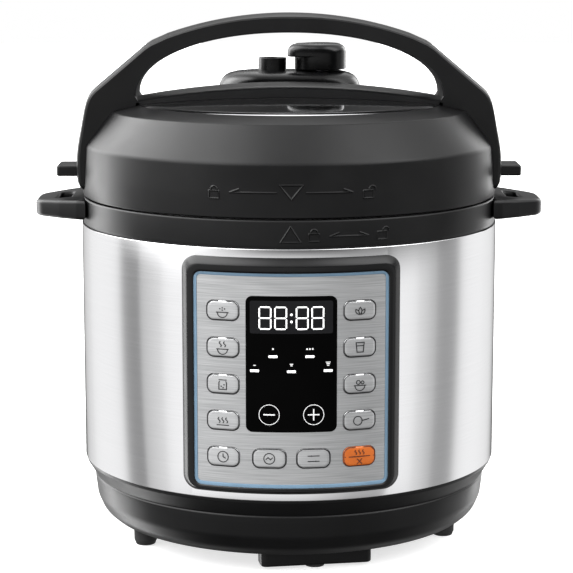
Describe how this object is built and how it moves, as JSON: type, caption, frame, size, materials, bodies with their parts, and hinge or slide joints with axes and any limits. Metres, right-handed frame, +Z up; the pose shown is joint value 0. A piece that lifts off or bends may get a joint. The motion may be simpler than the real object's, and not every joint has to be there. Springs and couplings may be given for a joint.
{
  "type": "electric pressure cooker",
  "caption": "Countertop electric pressure cooker: steel drum body, curved control panel, black lid with arched handle and steam valve.",
  "frame": {"origin": "on the floor, on the pot's vertical axis, which is the middle of the object's box", "axes": "+Z up along the pot's axis, -Y towards the control panel, +X towards the right-hand ear"},
  "size_m": [0.3286, 0.2837, 0.34],
  "materials": {
    "black_plastic": "moulded, satin",
    "gloss_black": "smooth",
    "steel": "polished, fine horizontal grain",
    "bright_steel": "bright",
    "aluminium": "cast, machined face",
    "rubber": "matte",
    "silicone": "translucent, matte",
    "panel_silver": "printed film, fine horizontal brushing",
    "panel_blue": "printed film",
    "key_silver": "printed film",
    "key_orange": "printed film",
    "circuit_board": "solder mask",
    "components": "moulded",
    "brass": "plated",
    "wire": "insulated",
    "float_red": "smooth",
    "clear_cup": "clear plastic"
  },
  "bodies": {
    "base": {"base_housing": "black_plastic", "bottom_cover": "black_plastic", "bottom_screws": "bright_steel", "rubber_feet": "rubber", "front_foot": "black_plastic", "front_foot_pad": "rubber", "outer_shell": "steel", "top_ring": "black_plastic", "inner_housing": "steel", "heating_plate": "aluminium", "heater_terminals": "brass", "sensor_spring": "bright_steel", "sensor_bracket": "steel", "thermal_fuse": "bright_steel", "power_board": "circuit_board", "board_components": "components", "power_inlet": "black_plastic", "inlet_pins": "brass", "wire_harness": "wire", "control_board": "circuit_board", "tact_switches": "components", "display_module": "gloss_black", "panel_bezel": "black_plastic", "panel_trim": "panel_blue", "panel_overlay": "panel_silver", "display_window": "gloss_black", "cup_bracket": "black_plastic"},
    "inner_pot": {"inner_pot": "steel"},
    "seal": {"sealing_ring": "silicone"},
    "lid": {"lid_cover": "black_plastic", "lid_disc": "steel", "lid_pan": "steel", "sealing_ring_rack": "bright_steel", "handle": "black_plastic", "handle_strap": "black_plastic", "handle_screws": "bright_steel", "valve_platform": "black_plastic", "float_guard": "black_plastic", "release_pipe": "bright_steel", "filter_cap": "steel"},
    "float": {"float_valve": "float_red", "float_seal": "silicone"},
    "release_knob": {"release_knob": "black_plastic"},
    "sensor": {"temperature_sensor": "aluminium"},
    "condensation_cup": {"condensation_cup": "clear_cup"},
    "key_left_1": {"key_left_1": "key_silver"},
    "key_left_2": {"key_left_2": "key_silver"},
    "key_left_3": {"key_left_3": "key_silver"},
    "key_left_4": {"key_left_4": "key_silver"},
    "key_left_5": {"key_left_5": "key_silver"},
    "key_right_1": {"key_right_1": "key_silver"},
    "key_right_2": {"key_right_2": "key_silver"},
    "key_right_3": {"key_right_3": "key_silver"},
    "key_right_4": {"key_right_4": "key_silver"},
    "key_right_5": {"key_right_5": "key_orange"},
    "key_bottom_1": {"key_bottom_1": "key_silver"},
    "key_bottom_2": {"key_bottom_2": "key_silver"},
    "key_minus": {"key_minus": "gloss_black"},
    "key_plus": {"key_plus": "gloss_black"}
  },
  "joints": [
    {"name": "lid_lift", "type": "slide", "parent": "base", "child": "seal", "axis": [0, 0, 1], "range_m": [0, 0.3]},
    {"name": "lid_turn", "type": "hinge", "parent": "seal", "child": "lid", "pos_m": [0, 0, 0.24], "axis": [0, 0, 1], "range_deg": [0, 30]},
    {"name": "pot_lift", "type": "slide", "parent": "base", "child": "inner_pot", "axis": [0, 0, 1], "range_m": [0, 0.17]},
    {"name": "float_rise", "type": "slide", "parent": "lid", "child": "float", "axis": [0, 0, 1], "range_m": [0, 0.005]},
    {"name": "knob_turn", "type": "hinge", "parent": "lid", "child": "release_knob", "pos_m": [0.0217, 0.055, 0.305], "axis": [0, 0, 1], "range_deg": [0, 60]},
    {"name": "sensor_press", "type": "slide", "parent": "base", "child": "sensor", "axis": [0, 0, -1], "range_m": [0, 0.003], "stiffness_N_per_m": 1500, "springref_m": -0.004, "deforming": ["sensor_spring"]},
    {"name": "cup_slide", "type": "slide", "parent": "base", "child": "condensation_cup", "axis": [0, 1, 0], "range_m": [0, 0.04]},
    {"name": "key_left_1_press", "type": "slide", "parent": "base", "child": "key_left_1", "axis": [0.2964, 0.9551, 0], "range_m": [0, 0.0005], "stiffness_N_per_m": 500, "springref_m": -0.002},
    {"name": "key_left_2_press", "type": "slide", "parent": "base", "child": "key_left_2", "axis": [0.2964, 0.9551, 0], "range_m": [0, 0.0005], "stiffness_N_per_m": 500, "springref_m": -0.002},
    {"name": "key_left_3_press", "type": "slide", "parent": "base", "child": "key_left_3", "axis": [0.2964, 0.9551, 0], "range_m": [0, 0.0005], "stiffness_N_per_m": 500, "springref_m": -0.002},
    {"name": "key_left_4_press", "type": "slide", "parent": "base", "child": "key_left_4", "axis": [0.2964, 0.9551, 0], "range_m": [0, 0.0005], "stiffness_N_per_m": 500, "springref_m": -0.002},
    {"name": "key_left_5_press", "type": "slide", "parent": "base", "child": "key_left_5", "axis": [0.2964, 0.9551, 0], "range_m": [0, 0.0005], "stiffness_N_per_m": 500, "springref_m": -0.002},
    {"name": "key_right_1_press", "type": "slide", "parent": "base", "child": "key_right_1", "axis": [-0.2964, 0.9551, 0], "range_m": [0, 0.0005], "stiffness_N_per_m": 500, "springref_m": -0.002},
    {"name": "key_right_2_press", "type": "slide", "parent": "base", "child": "key_right_2", "axis": [-0.2964, 0.9551, 0], "range_m": [0, 0.0005], "stiffness_N_per_m": 500, "springref_m": -0.002},
    {"name": "key_right_3_press", "type": "slide", "parent": "base", "child": "key_right_3", "axis": [-0.2964, 0.9551, 0], "range_m": [0, 0.0005], "stiffness_N_per_m": 500, "springref_m": -0.002},
    {"name": "key_right_4_press", "type": "slide", "parent": "base", "child": "key_right_4", "axis": [-0.2964, 0.9551, 0], "range_m": [0, 0.0005], "stiffness_N_per_m": 500, "springref_m": -0.002},
    {"name": "key_right_5_press", "type": "slide", "parent": "base", "child": "key_right_5", "axis": [-0.2964, 0.9551, 0], "range_m": [0, 0.0005], "stiffness_N_per_m": 500, "springref_m": -0.002},
    {"name": "key_bottom_1_press", "type": "slide", "parent": "base", "child": "key_bottom_1", "axis": [0.0958, 0.9954, 0], "range_m": [0, 0.0005], "stiffness_N_per_m": 500, "springref_m": -0.002},
    {"name": "key_bottom_2_press", "type": "slide", "parent": "base", "child": "key_bottom_2", "axis": [-0.0958, 0.9954, 0], "range_m": [0, 0.0005], "stiffness_N_per_m": 500, "springref_m": -0.002},
    {"name": "key_minus_press", "type": "slide", "parent": "base", "child": "key_minus", "axis": [0, 1, 0], "range_m": [0, 0.0005], "stiffness_N_per_m": 500, "springref_m": -0.002},
    {"name": "key_plus_press", "type": "slide", "parent": "base", "child": "key_plus", "axis": [0, 1, 0], "range_m": [0, 0.0005], "stiffness_N_per_m": 500, "springref_m": -0.002}
  ],
  "couplings": [
    {"joint": "pot_lift", "follows": "lid_lift", "ratio": 0.55}
  ]
}
